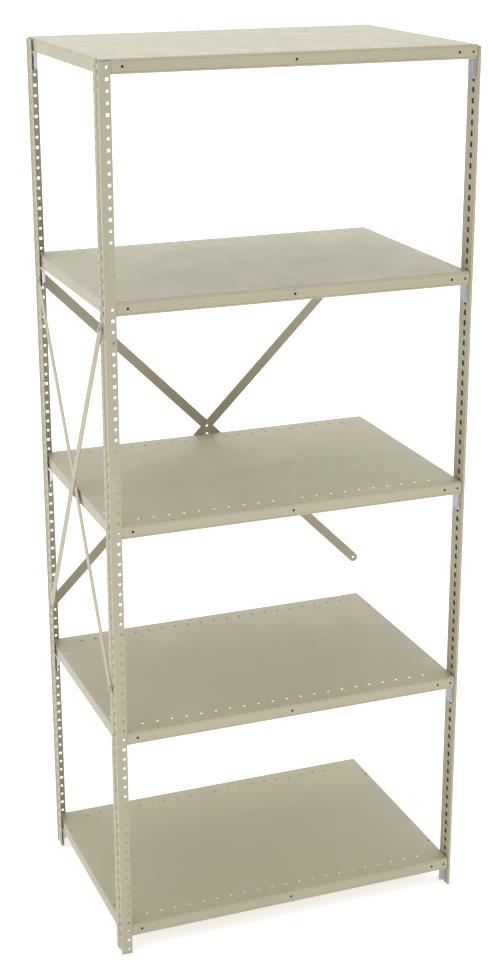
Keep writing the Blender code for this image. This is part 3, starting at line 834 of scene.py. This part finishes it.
class Nodes:
    """A short way to write a material's nodes."""

    def __init__(self, name):
        self.material = bpy.data.materials.new(name)
        self.material.use_nodes = True
        self.tree = self.material.node_tree
        self.shader = self.tree.nodes["Principled BSDF"]
        self.place = self.node("ShaderNodeTexCoord").outputs["Object"]

    def node(self, kind, **values):
        made = self.tree.nodes.new(kind)
        for key, value in values.items():
            setattr(made, key, value)
        return made

    def link(self, source, target):
        self.tree.links.new(source, target)

    def noise(self, scale, detail=3.0, roughness=0.5, distortion=0.0):
        made = self.node("ShaderNodeTexNoise")
        made.inputs["Scale"].default_value = scale
        made.inputs["Detail"].default_value = detail
        made.inputs["Roughness"].default_value = roughness
        made.inputs["Distortion"].default_value = distortion
        self.link(self.place, made.inputs["Vector"])
        return made.outputs["Fac"]

    def math(self, operation, a, b):
        made = self.node("ShaderNodeMath", operation=operation)
        for socket, value in zip(made.inputs, (a, b)):
            if isinstance(value, (int, float)):
                socket.default_value = value
            else:
                self.link(value, socket)
        return made.outputs[0]

    def spread(self, value, low, high):
        """Takes the middle of a noise's range to low..high."""
        made = self.node("ShaderNodeMapRange")
        self.link(value, made.inputs["Value"])
        made.inputs["From Min"].default_value = 0.3
        made.inputs["From Max"].default_value = 0.7
        made.inputs["To Min"].default_value = low
        made.inputs["To Max"].default_value = high
        return made.outputs["Result"]

    def blend(self, factor, low, high):
        made = self.node("ShaderNodeMix", data_type="RGBA")
        self.link(factor, made.inputs["Factor"])
        made.inputs[6].default_value = (*low, 1.0)
        made.inputs[7].default_value = (*high, 1.0)
        return made.outputs[2]


def enamel(name, colour, roughness):
    """Baked enamel: an even coat with faint clouds, a fine fleck and a slight orange peel."""
    nodes = Nodes(name)
    clouds = nodes.noise(3.0, 4.0)
    fleck = nodes.noise(900.0, 2.0)
    peel = nodes.noise(260.0, 3.0, 0.6)
    shade = nodes.math("ADD", nodes.math("MULTIPLY", clouds, 0.65),
                       nodes.math("MULTIPLY", fleck, 0.35))
    low = tuple(c * 0.955 for c in colour)
    high = tuple(c * 1.045 for c in colour)
    tint = nodes.blend(nodes.spread(shade, 0.0, 1.0), low, high)
    nodes.link(tint, nodes.shader.inputs["Base Color"])
    smear = nodes.noise(14.0, 4.0, 0.6, 0.4)
    gloss = nodes.spread(smear, roughness - 0.05, roughness + 0.07)
    nodes.link(gloss, nodes.shader.inputs["Roughness"])
    bump = nodes.node("ShaderNodeBump")
    bump.inputs["Strength"].default_value = 0.22
    bump.inputs["Distance"].default_value = 0.0002
    nodes.link(peel, bump.inputs["Height"])
    nodes.link(bump.outputs["Normal"], nodes.shader.inputs["Normal"])
    nodes.shader.inputs["Metallic"].default_value = 0.0
    nodes.shader.inputs["IOR"].default_value = 1.45
    return nodes.material


def zinc(name, colour):
    """Clear zinc plate: a cool bright metal with a faint spangle and fine rolling marks."""
    nodes = Nodes(name)
    cells = nodes.node("ShaderNodeTexVoronoi")
    cells.inputs["Scale"].default_value = 420.0
    nodes.link(nodes.place, cells.inputs["Vector"])
    grey = nodes.node("ShaderNodeRGBToBW")
    nodes.link(cells.outputs["Color"], grey.inputs["Color"])
    clouds = nodes.noise(60.0, 3.0)
    shade = nodes.math("ADD", nodes.math("MULTIPLY", grey.outputs["Val"], 0.4),
                       nodes.math("MULTIPLY", clouds, 0.6))
    low = tuple(c * 0.90 for c in colour)
    high = tuple(min(c * 1.08, 1.0) for c in colour)
    tint = nodes.blend(nodes.spread(shade, 0.0, 1.0), low, high)
    nodes.link(tint, nodes.shader.inputs["Base Color"])
    nodes.link(nodes.spread(clouds, 0.30, 0.46), nodes.shader.inputs["Roughness"])
    scratch = nodes.noise(1500.0, 2.0)
    bump = nodes.node("ShaderNodeBump")
    bump.inputs["Strength"].default_value = 0.10
    bump.inputs["Distance"].default_value = 0.00005
    nodes.link(scratch, bump.inputs["Height"])
    nodes.link(bump.outputs["Normal"], nodes.shader.inputs["Normal"])
    nodes.shader.inputs["Metallic"].default_value = 1.0
    return nodes.material


def make_materials():
    return {"post": enamel("post_enamel", POST_COLOUR, 0.42),
            "shelf": enamel("shelf_enamel", SHELF_COLOUR, 0.42),
            "brace": enamel("brace_enamel", BRACE_COLOUR, 0.46),
            "zinc": zinc("zinc_plate", ZINC_COLOUR)}


# Stage -------------------------------------------------------------------------------------------

def make_floor():
    """A plain, nearly white floor, bright enough to keep the contact shadow faint."""
    mesh = bpy.data.meshes.new("floor")
    half, below = FLOOR_HALF, FLOOR_DROP
    mesh.from_pydata([(-half, -half, below), (half, -half, below), (half, half, below),
                      (-half, half, below)], [], [(0, 1, 2, 3)])
    nodes = Nodes("floor_white")
    nodes.shader.inputs["Base Color"].default_value = (FLOOR_GREY, FLOOR_GREY, FLOOR_GREY, 1.0)
    nodes.shader.inputs["Roughness"].default_value = 0.9
    nodes.shader.inputs["Specular IOR Level"].default_value = 0.0
    nodes.shader.inputs["Emission Color"].default_value = (1.0, 1.0, 1.0, 1.0)
    nodes.shader.inputs["Emission Strength"].default_value = FLOOR_GLOW
    mesh.materials.append(nodes.material)
    on_scene("floor", mesh)


def area_light(name, place, target, size, watts):
    light = bpy.data.lights.new(name, "AREA")
    light.shape = "RECTANGLE"
    light.size, light.size_y = size
    light.energy = watts
    obj = bpy.data.objects.new(name, light)
    bpy.context.scene.collection.objects.link(obj)
    aim = Vector(place) - Vector(target)
    obj.matrix_world = Matrix.Translation(place) @ aim.to_track_quat("Z", "Y").to_matrix().to_4x4()
    obj.visible_camera = False


def make_lights():
    world = bpy.data.worlds.new("studio")
    world.use_nodes = True
    tree = world.node_tree
    background = tree.nodes["Background"]
    background.inputs["Color"].default_value = (1.0, 1.0, 1.0, 1.0)
    direction = tree.nodes.new("ShaderNodeTexCoord").outputs["Generated"]
    axes = tree.nodes.new("ShaderNodeSeparateXYZ")
    tree.links.new(direction, axes.inputs[0])
    ramp = tree.nodes.new("ShaderNodeMapRange")
    tree.links.new(axes.outputs["Y"], ramp.inputs["Value"])
    ramp.inputs["From Min"].default_value = -1.0
    ramp.inputs["From Max"].default_value = 1.0
    ramp.inputs["To Min"].default_value = WORLD_FRONT
    ramp.inputs["To Max"].default_value = WORLD_BACK
    tree.links.new(ramp.outputs["Result"], background.inputs["Strength"])
    bpy.context.scene.world = world
    area_light("overhead", OVERHEAD_PLACE, OVERHEAD_TARGET, OVERHEAD_SIZE, OVERHEAD_WATTS)
    area_light("front", FRONT_PLACE, FRONT_TARGET, FRONT_SIZE, FRONT_WATTS)


def make_camera():
    camera = bpy.data.cameras.new("camera")
    camera.lens = CAMERA_LENS
    camera.shift_x, camera.shift_y = CAMERA_SHIFT
    camera.clip_start, camera.clip_end = 0.05, 200.0
    obj = bpy.data.objects.new("camera", camera)
    bpy.context.scene.collection.objects.link(obj)
    place = Vector((SHELF_LOW.x, SHELF_LOW.y, 0.0)) + Vector(CAMERA_FROM_CORNER)
    obj.matrix_world = (Matrix.Translation(place)
                        @ Matrix.Rotation(CAMERA_TURN, 4, "Z")
                        @ Matrix.Rotation(math.pi / 2 + CAMERA_TILT, 4, "X")
                        @ Matrix.Rotation(CAMERA_ROLL, 4, "Z"))
    bpy.context.scene.camera = obj


def main():
    bpy.context.scene.view_settings.view_transform = "Standard"
    materials = make_materials()
    make_posts(materials)
    make_shelves(materials)
    make_clips(materials)
    make_braces(materials)
    make_fasteners(materials)
    make_floor()
    make_lights()
    make_camera()


main()
